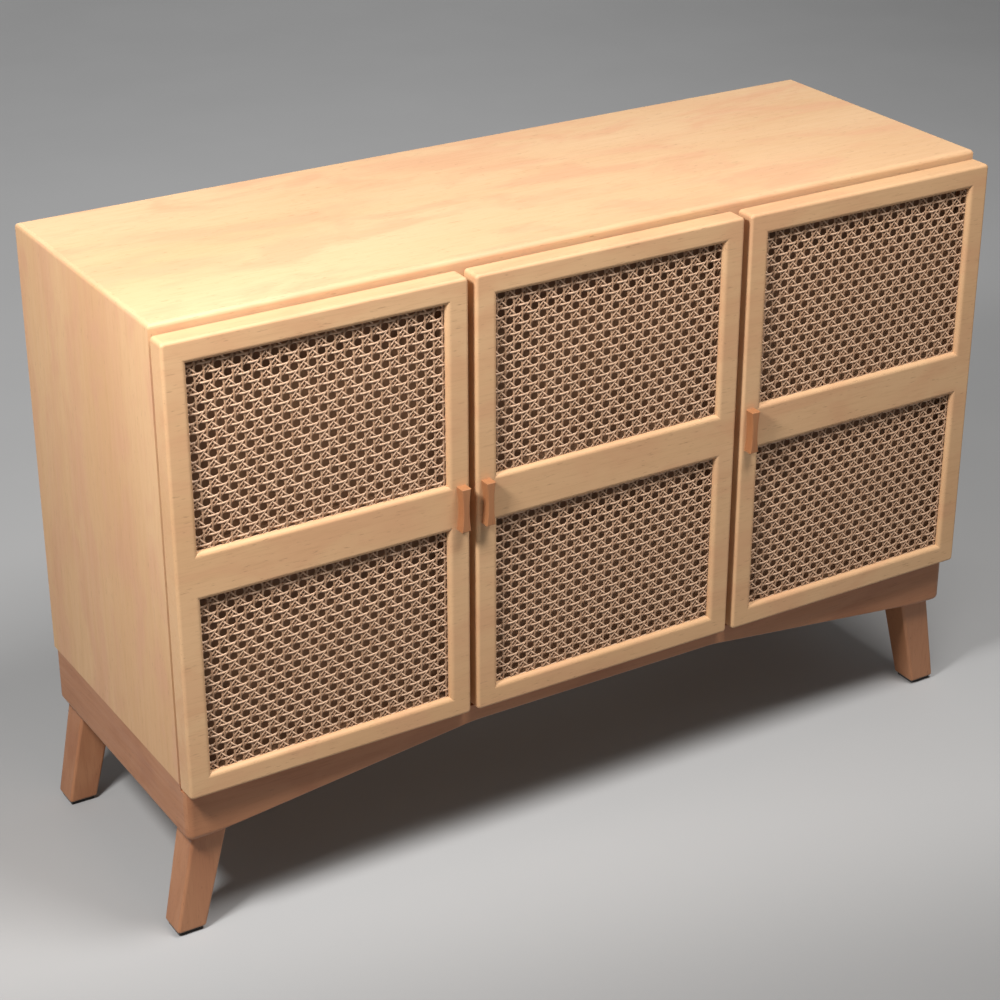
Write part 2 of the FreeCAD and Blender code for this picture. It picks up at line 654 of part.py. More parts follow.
def build_hinge_side(side):
    """The door frame hung on one side, drilled and mortised, and the hinge cups that it holds."""
    pin_x, inward = (LEFT_PIN, 1) if side == "left" else (RIGHT_PIN, -1)
    frame = build_door_frame(f"{side}_hung_frame")
    pull_x = f"({DOOR_WIDTH} - pull_from_edge)" if side == "left" else "pull_from_edge"
    pull_z = f"(frame_width + {OPENING_HEIGHT} + middle_rail_width / 2)"
    mortises = []
    cups = []
    screws = pull_screws(f"{side}_hung", pull_x, pull_z)
    for level, z in HINGE_LEVELS.items():
        mortise, cup, cup_screws = hinge_cup(f"{side}_hung_{level}", pin_x, inward, z)
        mortises.append(mortise)
        cups.append(cup)
        screws += cup_screws
    mortised = cut(f"{side}_hung_mortised", frame, group(f"{side}_hung_mortises", mortises))
    driven = group(f"{side}_hung_screws", screws)
    return {
        "frame": cut(f"{side}_hung_drilled", mortised, driven),
        "cups": cut(f"{side}_hung_cups", group(f"{side}_hung_cup_pair", cups), driven),
        "screws": screws,
        "pull": (pull_x, pull_z),
    }


def build_doors():
    regions = member_regions()
    beads, boards = build_door_backing()
    hung = {side: build_hinge_side(side) for side in ("left", "right")}
    nets = {opening: cane_net(round(size(f"{opening}_cane_rows"))) for opening in ("upper", "lower")}
    for door, (left_edge, side) in DOORS.items():
        corner = (left_edge, DOOR_FRONT, DOOR_BOTTOM)
        parts = hung[side]
        for member, region in regions.items():
            piece = common(f"{door}_{member}_piece", parts["frame"], region)
            finish(place(piece, corner), f"{door}_{member}")
        for opening, start in (("upper", UPPER_START), ("lower", "frame_width")):
            net = doc.addObject("Part::Feature", f"{door}_{opening}_net")
            net.Shape = nets[opening].copy()
            middle = (f"{left_edge} + {DOOR_WIDTH} / 2", f"{DOOR_FRONT} + lip_depth",
                      f"{DOOR_BOTTOM} + {start} + {OPENING_HEIGHT} / 2")
            finish(place(net, middle), f"{door}_{opening}_cane")
        finish(place(group(f"{door}_bead_pair", beads), corner), f"{door}_cane_beads", len(beads))
        finish(place(group(f"{door}_board_pair", boards), corner), f"{door}_backing_boards", len(boards))
        screws = place(group(f"{door}_screw_set", parts["screws"]), corner)
        finish(screws, f"{door}_screws", len(parts["screws"]))
        cups = place(group(f"{door}_cup_set", [parts["cups"]]), corner)
        finish(cups, f"{door}_hinge_cups", len(HINGE_LEVELS))
        x, z = parts["pull"]
        pull = build_pull(f"{door}_pull_block", (f"{left_edge} + {x}", DOOR_FRONT, f"{DOOR_BOTTOM} + {z}"))
        finish(cut(f"{door}_pull_drilled", pull, screws), f"{door}_pull")


def build_hinges():
    arms = []
    screws = []
    for door, (left_edge, side) in DOORS.items():
        pin, inward = (LEFT_PIN, 1) if side == "left" else (RIGHT_PIN, -1)
        for level, z in HINGE_LEVELS.items():
            arm, arm_screws = hinge_arm(f"{door}_{level}", f"({left_edge} + {pin})", inward,
                                        f"({DOOR_BOTTOM} + {z})")
            arms.append(arm)
            screws += arm_screws
    blocks = [box(f"{level}_hinge_block", ("block_thickness", "block_length", "block_height"),
                  (f"{GAP_CENTRE} - panel_thickness / 2 - block_thickness", f"{FRONT} + block_start",
                   f"{DOOR_BOTTOM} + {z} - block_height / 2"))
              for level, z in HINGE_LEVELS.items()]
    return arms, screws, blocks


def build_sideboard():
    top, left_side, right_side, bottom, divider, back, post = build_carcass()
    dowels = build_dowels()
    shelves, pins = build_shelves()
    ring, front_apron, rear_apron, plinth_rails = build_plinth()
    arms, arm_screws, blocks = build_hinges()

    dowel_set = group("dowel_set", dowels)
    pin_set = group("pin_set", pins)
    arm_screw_set = group("arm_screw_set", arm_screws)
    sunk = group("sunk_in_panels", [dowel_set, pin_set, arm_screw_set])
    finish(cut("top_fitted", top, dowel_set), "top_panel")
    finish(cut("bottom_fitted", bottom, dowel_set), "bottom_panel")
    finish(cut("left_side_fitted", left_side, sunk), "left_side_panel")
    finish(cut("right_side_fitted", right_side, sunk), "right_side_panel")
    finish(cut("divider_fitted", divider, sunk), "divider_panel")
    finish(cut("post_fitted", post, dowel_set), "meeting_post")
    finish(back, "back_panel")
    finish(shelves["left_bay"], "left_bay_shelf")
    finish(shelves["right_bay"], "right_bay_shelf")
    finish(pin_set, "shelf_pins", len(pins))
    finish(dowel_set, "panel_dowels", len(dowels))

    screws = []
    pads = []
    legs = {}
    inner_front = f"({FRONT} - plinth_reach + plinth_wall)"
    inner_back = f"({BACK} - plinth_wall)"
    rows = {"front": (f"({FRONT} + leg_from_front)", -1, inner_front),
            "rear": (f"({BACK} - leg_from_back)", 1, inner_back)}
    for row, (centre_y, outward, apron_inner) in rows.items():
        for side, sign in (("left", -1), ("right", 1)):
            name = f"{row}_{side}_leg"
            legs[name] = build_leg(name, sign, centre_y, ring)
            screws += leg_screws(name, sign, outward, centre_y, apron_inner)
            foot_x = leg_x(sign, "pad_thickness")
            pads.append(box(f"{name}_pad", ("pad_size", "pad_size", "pad_thickness"),
                            (f"{foot_x} - pad_size / 2", f"{centre_y} - pad_size / 2", "0")))
    screw_set = group("leg_screw_set", screws)
    for name, leg in legs.items():
        finish(cut(f"{name}_drilled", leg, screw_set), name)
    finish(cut("front_apron_drilled", front_apron, screw_set), "front_apron")
    finish(cut("rear_apron_drilled", rear_apron, screw_set), "rear_apron")
    finish(plinth_rails[0], "left_plinth_rail")
    finish(plinth_rails[1], "right_plinth_rail")
    finish(screw_set, "leg_screws", len(screws))
    finish(group("pad_set", pads), "felt_pads", len(pads))

    finish(cut("arms_drilled", group("arm_set", arms), arm_screw_set), "hinge_arms", len(arms))
    finish(arm_screw_set, "hinge_arm_screws", len(arm_screws))
    finish(cut("blocks_drilled", group("block_set", blocks), arm_screw_set), "hinge_blocks", len(blocks))
    build_doors()


def check_and_write():
    doc.recompute()
    for item in doc.Objects:
        if "Invalid" in item.State or "Error" in item.State:
            raise RuntimeError(f"{item.Name} did not recompute: {item.State}")
    for item, solids in sub_parts:
        shape = item.Shape
        if shape.isNull() or not shape.isValid():
            raise RuntimeError(f"{item.Label} has no valid shape")
        if len(shape.Solids) != solids:
            raise RuntimeError(f"{item.Label} has {len(shape.Solids)} solids, not {solids}")
    os.makedirs("parts", exist_ok=True)
    for item, solids in sub_parts:
        item.Shape.exportStep(f"parts/{item.Label}.step")
        print(f"{item.Label}: {solids} solid(s), {item.Shape.Volume / 1000:.1f} cm3")


build_sideboard()
check_and_write()
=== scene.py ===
import bpy
import math
import random
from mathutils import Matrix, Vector


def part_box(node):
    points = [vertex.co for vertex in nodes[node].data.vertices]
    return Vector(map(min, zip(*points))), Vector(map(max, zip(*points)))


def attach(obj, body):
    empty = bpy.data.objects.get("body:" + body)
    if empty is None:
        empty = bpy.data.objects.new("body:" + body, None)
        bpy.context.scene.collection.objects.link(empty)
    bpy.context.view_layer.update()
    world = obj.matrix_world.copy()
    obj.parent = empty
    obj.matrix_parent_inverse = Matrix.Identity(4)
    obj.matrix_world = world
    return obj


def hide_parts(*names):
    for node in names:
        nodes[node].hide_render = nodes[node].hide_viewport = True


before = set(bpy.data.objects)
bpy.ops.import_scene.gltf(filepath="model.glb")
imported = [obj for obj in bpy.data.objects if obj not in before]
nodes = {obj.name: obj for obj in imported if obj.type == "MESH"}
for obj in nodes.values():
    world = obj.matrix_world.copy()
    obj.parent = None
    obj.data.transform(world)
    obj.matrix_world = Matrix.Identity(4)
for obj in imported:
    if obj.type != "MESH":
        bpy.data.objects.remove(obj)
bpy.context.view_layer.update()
scene = bpy.context.scene
doorNames = ("left_door", "middle_door", "right_door")
print("frame loaded:", len(nodes), "nodes")


# nodes of a material, with short helpers so that each recipe stays readable

class Recipe:
    def __init__(self, name):
        self.material = bpy.data.materials.new(name)
        self.material.use_nodes = True
        self.tree = self.material.node_tree
        self.shader = self.tree.nodes["Principled BSDF"]

    def add(self, kind, **settings):
        node = self.tree.nodes.new("ShaderNode" + kind)
        for key, value in settings.items():
            setattr(node, key, value)
        return node

    def put(self, socket, value):
        # another node's output, a colour or a plain value
        if isinstance(value, bpy.types.NodeSocket):
            self.tree.links.new(value, socket)
        elif socket.type == "RGBA":
            socket.default_value = (*value, 1.0)
        else:
            socket.default_value = value

    def fill(self, node, **inputs):
        for key, value in inputs.items():
            self.put(node.inputs[key.replace("_", " ")], value)

    def place(self):
        return self.add("TexCoord").outputs["Object"]

    def stretched(self, source, scale, offset=(0, 0, 0)):
        node = self.add("Mapping")
        self.fill(node, Vector=source, Scale=scale, Location=offset)
        return node.outputs["Vector"]

    def noise(self, source, scale, detail, rough=0.5, twist=0.0):
        node = self.add("TexNoise")
        self.fill(node, Vector=source, Scale=scale, Detail=detail)
        self.fill(node, Roughness=rough, Distortion=twist)
        return node.outputs["Fac"]

    def ramp(self, source, low, high, start=0.0, end=1.0):
        node = self.add("MapRange", interpolation_type="SMOOTHSTEP")
        self.fill(node, Value=source, From_Min=low, From_Max=high, To_Min=start, To_Max=end)
        return node.outputs["Result"]

    def times(self, first, second):
        node = self.add("Math", operation="MULTIPLY")
        self.put(node.inputs[0], first)
        self.put(node.inputs[1], second)
        return node.outputs["Value"]

    def mix(self, factor, first, second, blend="MIX"):
        node = self.add("Mix", data_type="RGBA", blend_type=blend)
        # by number, because the sockets for colours share their names with others
        for number, value in ((0, factor), (6, first), (7, second)):
            self.put(node.inputs[number], value)
        return node.outputs[2]

    def bump(self, height, strength, distance, base=None):
        node = self.add("Bump")
        self.fill(node, Strength=strength, Distance=distance, Height=height)
        if base:
            self.put(node.inputs["Normal"], base)
        return node.outputs["Normal"]

    def surface(self, colour, normal, roughness, **uniform):
        if normal:
            self.put(self.shader.inputs["Normal"], normal)
        self.fill(self.shader, Base_Color=colour, Roughness=roughness, **uniform)
        return self.material


def seenDirectly(tree):
    # 1 where the camera, a mirror or glass sees the surface, and 0 where it only lights others
    rays = tree.nodes.new("ShaderNodeLightPath").outputs
    seen = rays["Is Camera Ray"]
    for kind in ("Is Glossy Ray", "Is Transmission Ray"):
        either = tree.nodes.new("ShaderNodeMath")
        either.operation = "MAXIMUM"
        tree.links.new(seen, either.inputs[0])
        tree.links.new(rays[kind], either.inputs[1])
        seen = either.outputs["Value"]
    return seen


noiseMiddle = (0.3, 0.7)  # most of a noise's values lie between these


def alongGrain(axis, along, across):
    scale = [across, across, across]
    scale["XYZ".index(axis)] = along
    return tuple(scale)


# lacquered wood: board tone, fibre streaks, pores and a few hairline checks

woodGrain = {
    # waves along and across the grain, per metre, then the noise's detail, roughness and twist
    "board": (1.2, 4.0, 2.0, 0.5, 0.4),
    "patch": (7.0, 17.0, 3.0, 0.55, 0.6),
    "streak": (6.0, 80.0, 4.0, 0.6, 0.4),
    "fibre": (28.0, 500.0, 3.0, 0.6),
    "pore": (70.0, 640.0, 1.0, 0.5),
    "checkLevel": (2.2, 30.0, 2.0, 0.5, 0.3),
    "checkPlace": (11.0, 26.0, 1.0),
}

woodLayers = {
    # the noise's values over which a layer comes in, then its least and greatest share
    "board": (0.32, 0.68),
    "patch": (0.42, 0.66, 0.0, 0.75),
    "streak": (0.42, 0.75),
    "fibre": (0.48, 0.80, 0.0, 0.34),
    "pore": (0.68, 0.78),
    "checkBelow": (0.497, 0.500),
    "checkAbove": (0.500, 0.503, 1.0, 0.0),
    "checkFade": 0.05,
    "poreShare": 0.42,
    "checkStrength": 0.85,
    # strength and depth in metres
    "fibreBump": (0.10, 0.0004),
    "sunkBump": (0.35, 0.0003),
}

lacquer = {"Specular_IOR_Level": 0.4, "Coat_Weight": 0.03, "Coat_Roughness": 0.4}

paleWood = {
    "honey": (0.66, 0.385, 0.195),
    "straw": (0.71, 0.44, 0.235),
    "blush": (0.66, 0.36, 0.207),
    "fibre": (0.46, 0.25, 0.115),
    "pore": (0.26, 0.13, 0.058),
    "check": (0.12, 0.06, 0.03),
    "roughness": (0.50, 0.64),
    "streak": 0.11,
    "checkShare": 0.70,  # higher leaves fewer checks
}

stainedWood = {
    "honey": (0.425, 0.185, 0.087),
    "straw": (0.485, 0.22, 0.107),
    "blush": (0.39, 0.158, 0.073),
    "fibre": (0.25, 0.095, 0.043),
    "pore": (0.13, 0.05, 0.024),
    "check": (0.08, 0.03, 0.015),
    "roughness": (0.38, 0.52),
    "streak": 0.17,
    "checkShare": 0.80,
}


def makeWood(name, look, axis, offset):
    wood = Recipe(name)
    spot = wood.place()

    def grain(layer):
        along, across, *settings = woodGrain[layer]
        stretch = alongGrain(axis, along, across)
        return wood.noise(wood.stretched(spot, stretch, offset), 1.0, *settings)

    def layerOf(layer, source):
        return wood.ramp(source, *woodLayers[layer])

    streak = grain("streak")
    fibre = grain("fibre")
    streakMask = wood.ramp(streak, *woodLayers["streak"], 0.0, look["streak"])
    poreMask = layerOf("pore", grain("pore"))
    colour = wood.mix(layerOf("board", grain("board")), look["honey"], look["straw"])
    colour = wood.mix(layerOf("patch", grain("patch")), colour, look["blush"])
    colour = wood.mix(streakMask, colour, look["fibre"])
    colour = wood.mix(layerOf("fibre", fibre), colour, look["fibre"])
    colour = wood.mix(wood.times(poreMask, woodLayers["poreShare"]), colour, look["pore"])

    # a check follows a level line of a long soft noise, in short stretches
    level = grain("checkLevel")
    line = wood.times(layerOf("checkBelow", level), layerOf("checkAbove", level))
    share = look["checkShare"]
    stretches = wood.ramp(grain("checkPlace"), share, share + woodLayers["checkFade"])
    checkMask = wood.times(line, stretches)
    colour = wood.mix(wood.times(checkMask, woodLayers["checkStrength"]), colour, look["check"])

    grainNormal = wood.bump(fibre, *woodLayers["fibreBump"])
    sunk = wood.ramp(wood.mix(1.0, poreMask, checkMask, "ADD"), 0.0, 1.0, 1.0, 0.0)
    normal = wood.bump(sunk, *woodLayers["sunkBump"], grainNormal)
    return wood.surface(colour, normal, wood.ramp(streak, *noiseMiddle, *look["roughness"]), **lacquer)


# thin brown board behind the cane and at the cabinet's back

backBoard = {
    "brown": (0.29, 0.155, 0.08),
    "dark": (0.23, 0.12, 0.06),
    "speck": (0.38, 0.225, 0.125),
    "roughness": (0.55, 0.72),
    "toneStretch": (9.0, 9.0, 3.0),
    "toneNoise": (1.0, 4.0, 0.6, 0.5),
    "chipStretch": (420.0, 420.0, 160.0),
    "chipNoise": (1.0, 2.0, 0.6),
    "chipLayer": (0.55, 0.80, 0.0, 0.35),
    "chipBump": (0.20, 0.0004),
}


def makeBoard(name, look):
    board = Recipe(name)
    spot = board.place()
    tone = board.noise(board.stretched(spot, look["toneStretch"]), *look["toneNoise"])
    chip = board.noise(board.stretched(spot, look["chipStretch"]), *look["chipNoise"])
    colour = board.mix(board.ramp(tone, *noiseMiddle), look["brown"], look["dark"])
    colour = board.mix(board.ramp(chip, *look["chipLayer"]), colour, look["speck"])
    normal = board.bump(chip, *look["chipBump"])
    return board.surface(colour, normal, board.ramp(tone, *noiseMiddle, *look["roughness"]))


# bright plated steel for hinges, pins and screws

plateSteel = {
    "bright": (0.64, 0.63, 0.60),
    "worn": (0.40, 0.39, 0.37),
    "roughness": (0.24, 0.42),
    "brushStretch": (300.0, 300.0, 4200.0),
    "brushNoise": (1.0, 2.0, 0.5),
    "brushBump": (0.06, 0.0001),
    "wornNoise": (160.0, 3.0, 0.6),
    "wornLayer": (0.45, 0.75),
}


def makeSteel(name, look):
    steel = Recipe(name)
    spot = steel.place()
    brush = steel.noise(steel.stretched(spot, look["brushStretch"]), *look["brushNoise"])
    cloud = steel.noise(spot, *look["wornNoise"])
    colour = steel.mix(steel.ramp(cloud, *look["wornLayer"]), look["bright"], look["worn"])
    normal = steel.bump(brush, *look["brushBump"])
    rough = steel.ramp(brush, *noiseMiddle, *look["roughness"])
    return steel.surface(colour, normal, rough, Metallic=1.0)


# pressed felt under the feet

footFelt = {
    "dark": (0.018, 0.016, 0.015),
    "fluff": (0.060, 0.054, 0.050),
    "roughness": (0.85, 0.97),
    "sheen": 0.25,
    "hairNoise": (2600.0, 3.0, 0.7, 1.5),
    "hairLayer": (0.35, 0.70),
    "hairBump": (0.6, 0.0006),
}


def makeFelt(name, look):
    felt = Recipe(name)
    hair = felt.noise(felt.place(), *look["hairNoise"])
    colour = felt.mix(felt.ramp(hair, *look["hairLayer"]), look["dark"], look["fluff"])
    normal = felt.bump(hair, *look["hairBump"])
    rough = felt.ramp(hair, *noiseMiddle, *look["roughness"])
    return felt.surface(colour, normal, rough, Sheen_Weight=look["sheen"])


# split cane: each strand carries a shade, kept in the mesh: painted light and shade by its place in
# the weave, with a random tone of its own

splitCane = {
    "pale": (0.73, 0.48, 0.315),
    "tan": (0.31, 0.17, 0.092),
    "brown": (0.22, 0.115, 0.06),
    "roughness": (0.34, 0.50),
    "mottleNoise": (140.0, 3.0, 0.6),
    "mottleLayer": (0.52, 0.78, 0.0, 0.40),
    "threadNoise": (900.0, 2.0, 0.6),
    "threadLayer": (0.60, 0.85, 0.0, 0.30),
    "threadBump": (0.12, 0.0002),
}


def makeCane(name, look):
    cane = Recipe(name)
    spot = cane.place()
    toneAndPaintedShade = cane.add("Attribute", attribute_name="strandToneAndPaintedShade").outputs["Fac"]
    mottle = cane.noise(spot, *look["mottleNoise"])
    thread = cane.noise(spot, *look["threadNoise"])
    # the strand's shade: painted light and shade by its place in the weave, and its own random tone
    colour = cane.mix(toneAndPaintedShade, look["pale"], look["tan"])
    colour = cane.mix(cane.ramp(mottle, *look["mottleLayer"]), colour, look["tan"])
    colour = cane.mix(cane.ramp(thread, *look["threadLayer"]), colour, look["brown"])
    normal = cane.bump(thread, *look["threadBump"])
    return cane.surface(colour, normal, cane.ramp(mottle, *noiseMiddle, *look["roughness"]))


topLook = dict(paleWood, honey=(0.655, 0.40, 0.21), straw=(0.70, 0.455, 0.255),
               blush=(0.66, 0.36, 0.20))
doorLook = dict(paleWood, honey=(0.635, 0.37, 0.185), straw=(0.685, 0.423, 0.225),
                blush=(0.63, 0.345, 0.18))
pullLook = dict(stainedWood, honey=(0.37, 0.156, 0.063), straw=(0.425, 0.188, 0.08),
                blush=(0.34, 0.132, 0.054))
topWood = makeWood("honeyWoodTop", topLook, "X", (0.3, 0.1, 0.7))
sideWood = makeWood("honeyWoodUpright", paleWood, "Z", (0.9, 0.4, 0.2))
doorWood = makeWood("honeyWoodDoor", doorLook, "X", (0.2, 0.6, 0.5))
plinthWood = makeWood("stainedWoodPlinth", stainedWood, "X", (0.5, 0.2, 0.1))
plinthEndWood = makeWood("stainedWoodPlinthEnd", stainedWood, "Y", (0.1, 0.7, 0.4))
uprightStain = makeWood("stainedWoodUpright", stainedWood, "Z", (0.6, 0.3, 0.8))
pullWood = makeWood("stainedWoodPull", pullLook, "Z", (0.3, 0.8, 0.5))
boardBrown = makeBoard("thinBoard", backBoard)
platedSteel = makeSteel("platedSteel", plateSteel)
darkFelt = makeFelt("pressedFelt", footFelt)
wovenCane = makeCane("splitCane", splitCane)
print("materials made")


# which finish each solid gets, by the words in its name

finishes = (
    ("plinth_rail", plinthEndWood),
    ("apron", plinthWood),
    ("_leg", uprightStain),
    ("_pull", pullWood),
    ("screws", platedSteel),
    ("hinge_arms", platedSteel),
    ("hinge_cups", platedSteel),
    ("shelf_pins", platedSteel),
    ("felt_pads", darkFelt),
    ("backing_boards", boardBrown),
    ("cane_beads", boardBrown),
    ("back_panel", boardBrown),
    ("side_panel", sideWood),
    ("divider", sideWood),
    ("post", sideWood),
    ("dowels", sideWood),
    ("hinge_blocks", sideWood),
    ("door", doorWood),
    ("", topWood),  # top, bottom and shelves
)
for name, solid in nodes.items():
    finish = next(made for word, made in finishes if word in name)
    solid.data.materials.clear()
    solid.data.materials.append(finish)
print("solids finished")


# cane weave: single upright and level strands on a square grid, and a pair of strands along each
# slant through every other cell, so that the cells between are left open

weave = {
    "pitch": 0.01185,
    "columns": 28,
    "rows": {"upper": 21, "lower": 20},
    # how far each panel's weave sits to the right of its opening's middle, and below it
    "set": {
        "left_door_upper": (-0.0011, 0.0006),
        "left_door_lower": (-0.0015, 0.0012),
        "middle_door_upper": (0.0030, 0.0052),
        "middle_door_lower": (0.0, 0.0032),
        "right_door_upper": (0.0032, 0.0055),
        "right_door_lower": (-0.0010, 0.0032),
    },
    "gridWidth": 0.0027,  # upright and level strands
    "slantWidth": 0.0020,
    "thickness": 0.0009,
    "pairSpread": 0.0023,  # half the gap between the middles of a slanting pair
    "bow": 0.0001,  # how far a strand bends away from a hole
    "lift": 0.0009,  # how far an upright or level strand rises and sinks
    "slantLift": 0.0006,
    "ridgeLift": 0.00025,  # the rising strand that runs over both falling ones
    "topLift": 0.0011,  # the falling strand that lies on top of a cross
    "topShare": 0.2,  # the part of that lift which it keeps all along
    "edgeFade": 0.012,  # the weave flattens over this distance as it nears the frame
    "edgeShare": 0.55,
    "stepsPerCell": 4,
    "slantSteps": 5,
    "sectionPoints": 5,
    "spareCells": 2,  # slants start this far outside the panel
    "tuck": 0.0014,  # how far the edge strands sit under the lip
    "wobble": 0.00015,
    # painted light and shade: the level strands and the upper falling strand, which lies on top of
    # each cross, are paler; the upright, rising and lower falling strands are darker
    "toneAndPaintedShade": {"upright": 0.80, "level": 0.15, "risingUpper": 0.65, "risingLower": 0.95,
              "fallingUpper": 0.0, "fallingLower": 0.75},  # 0 is pale and 1 is tan
    "shadeSpread": 0.25,
    "seed": 4,
}


class Strands:
    def __init__(self):
        self.points = []
        self.faces = []
        self.tonesAndPaintedShades = []

    def lay(self, path, across, width, toneAndPaintedShade):
        # a strand with a half-round section, flat side to the back
        ring = weave["sectionPoints"]
        first = len(self.points)
        for centre in path:
            for step in range(ring):
                turn = math.pi * step / (ring - 1)
                side = across * (math.cos(turn) * width / 2)
                rise = Vector((0, (0.5 - math.sin(turn)) * weave["thickness"], 0))
                self.points.append(centre + side + rise)
                self.tonesAndPaintedShades.append(toneAndPaintedShade)
        for row in range(len(path) - 1):
            for step in range(ring):
                low = first + row * ring
                after = (step + 1) % ring
                self.faces.append((low + step, low + after, low + ring + after, low + ring + step))
        last = first + (len(path) - 1) * ring
        self.faces.append(tuple(first + step for step in reversed(range(ring))))
        self.faces.append(tuple(last + step for step in range(ring)))


def weaveStrands(door, opening, halfWidth, halfHeight, openWidth, openHeight):
    pitch = weave["pitch"]
    columns = weave["columns"]
    rows = weave["rows"][opening]
    spare = weave["spareCells"]
    aside, drop = weave["set"][f"{door}_{opening}"]
    dice = random.Random(weave["seed"] + rows + doorNames.index(door))
    strands = Strands()

    def settle(x, depth, z):
        # flatter near the frame, where the lip and the bead hold the cane
        inside = min(openWidth / 2 - abs(x), openHeight / 2 - abs(z))
        free = min(1.0, max(0.0, inside / weave["edgeFade"]))
        share = weave["edgeShare"]
        return Vector((x, depth * (share + (1 - share) * free), z))

    def toneAndPaintedShadeOf(kind):
        # painted light and shade of the strand's family, spread at random by the strand's own tone
        spread = (dice.random() - 0.5) * weave["shadeSpread"]
        return min(1.0, max(0.0, weave["toneAndPaintedShade"][kind] + spread))

    def gridStrand(count, index, openHalf, reach, upright):
        # one upright or level strand, at the line before cell number index
        middle = (index - count / 2) * pitch + (aside if upright else drop)
        inner = openHalf - weave["gridWidth"] / 2
        if abs(middle) > inner + pitch:
            return
        atEdge = abs(middle) > inner
        if atEdge:
            middle = math.copysign(openHalf + weave["tuck"], middle)
        drift = dice.uniform(-1, 1) * weave["wobble"]
        phase = 1 if index % 2 == 0 else -1
        number = round(2 * reach / pitch * weave["stepsPerCell"])
        path = []
        for step in range(number + 1):
            along = -reach + 2 * reach * step / number
            # line number of the crossing strands, whole where one crosses
            if upright:
                line = rows / 2 - (along + drop) / pitch
            else:
                line = (along - aside) / pitch + columns / 2
            swing = math.cos(math.pi * line) * phase
            bow = 0 if atEdge else -weave["bow"] * math.sin(math.pi * line) * phase
            if upright:
                path.append(settle(middle + drift + bow, -weave["lift"] * swing, along))
            else:
                path.append(settle(along, weave["lift"] * swing, -middle + drift - bow))
        across = Vector((1, 0, 0)) if upright else Vector((0, 0, -1))
        strands.lay(path, across, weave["gridWidth"], toneAndPaintedShadeOf("upright" if upright else "level"))

    # one line more on each side than the cells have
    for index in range(-1, columns + 2):
        gridStrand(columns, index, openWidth / 2, halfHeight, True)
    for index in range(-1, rows + 2):
        gridStrand(rows, index, openHeight / 2, halfWidth, False)

    def depthOnSlant(rising, upper, cell):
        # cell is whole at the middle of a cross and ends in a half where grid strands cross
        middle = math.cos(math.pi * cell) ** 2
        wave = math.sin(2 * math.pi * cell)
        if rising:
            return -weave["ridgeLift"] * middle if upper else weave["slantLift"] * wave
        if upper:
            return -weave["topLift"] * wave - weave["topShare"] * weave["topLift"]
        return weave["slantLift"] * middle

    def slantStrand(offset, rising, upper):
        # upper is the strand of the pair that lies nearer to the panel's top
        lean = 1 if rising else -1
        shift = weave["pairSpread"] * (1 if upper else -1) / math.sqrt(2)
        drift = dice.uniform(-1, 1) * weave["wobble"]
        toneAndPaintedShade = toneAndPaintedShadeOf(("rising" if rising else "falling") + ("Upper" if upper else "Lower"))
        steps = weave["slantSteps"]
        path = []
        for step in range(-spare * steps, (columns + spare) * steps):
            column = step / steps
            row = offset - column if rising else column - offset
            x = (column - (columns - 1) / 2) * pitch - shift * lean + aside
            z = ((rows - 1) / 2 - row) * pitch + shift + drift - drop
            if abs(x) <= halfWidth and abs(z) <= halfHeight:
                path.append(settle(x, depthOnSlant(rising, upper, column), z))
        if len(path) > 2:
            across = Vector((1, 0, -lean)).normalized()
            strands.lay(path, across, weave["slantWidth"], toneAndPaintedShade)

    # column plus row, or column minus row, is odd along each slant
    for rising in (True, False):
        for offset in range(-rows - spare, columns + rows + spare):
            if offset % 2:
                for upper in (True, False):
                    slantStrand(offset, rising, upper)
    return strands


def caneMesh(door, opening, size, openSize):
    strands = weaveStrands(door, opening, size.x / 2, size.z / 2, openSize[0], openSize[1])
    mesh = bpy.data.meshes.new(f"{door}_{opening}_weave")
    mesh.from_pydata(strands.points, [], strands.faces)
    toneAndPaintedShade = mesh.attributes.new("strandToneAndPaintedShade", "FLOAT", "POINT")
    toneAndPaintedShade.data.foreach_set("value", strands.tonesAndPaintedShades)
    for face in mesh.polygons:
        face.use_smooth = True
    mesh.materials.append(wovenCane)
    return mesh


for opening in ("upper", "lower"):
    for door in doorNames:
        net = f"{door}_{opening}_cane"
        low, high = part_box(net)
        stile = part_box(f"{door}_left_stile")[1].x
        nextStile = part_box(f"{door}_right_stile")[0].x
        if opening == "upper":
            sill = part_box(f"{door}_middle_rail")[1].z
            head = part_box(f"{door}_top_rail")[0].z
        else:
            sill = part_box(f"{door}_bottom_rail")[1].z
            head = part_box(f"{door}_middle_rail")[0].z
        mesh = caneMesh(door, opening, high - low, (nextStile - stile, head - sill))
        panel = bpy.data.objects.new(f"{door}_{opening}_weave", mesh)
        panel.location = (low + high) / 2
        scene.collection.objects.link(panel)
        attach(panel, door)
        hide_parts(net)
print("cane woven")


# floor: one wide pale sweep in bands of painted shade and light, darkest a little in front of the
# object and paler behind it and far in front, with a soft painted glow far off that lights nothing

floorLook = {
    "near": (0.25, 0.247, 0.244),
    "middle": (0.43, 0.426, 0.421),
    "far": (0.62, 0.62, 0.62),
    "bounce": (0.24, 0.24, 0.24),  # what the object gets back from the floor
    "glow": 0.10,
    "half": 9.0,
    "turn": 31.57,  # the sweep's direction, in degrees from +Y towards +X
    "skew": 0.25,  # tilts the bands of shade a little against that direction
    # metres along the sweep over which one band of painted shade goes over into the next
    "farToNear": (-2.0, -0.75),
    "nearToMiddle": (-0.66, -0.22),
    "middleToFar": (-0.1, 2.4),
    "glowAlong": (0.2, 2.6),
    "glowAcross": (-0.5, 2.0, 1.0, 0.2),
    "cloudNoise": (3.0, 3.0, 0.5),
    "cloudLayer": (0.2, 0.8, 0.0, 0.05),
    "roughness": (0.72, 0.82),
}


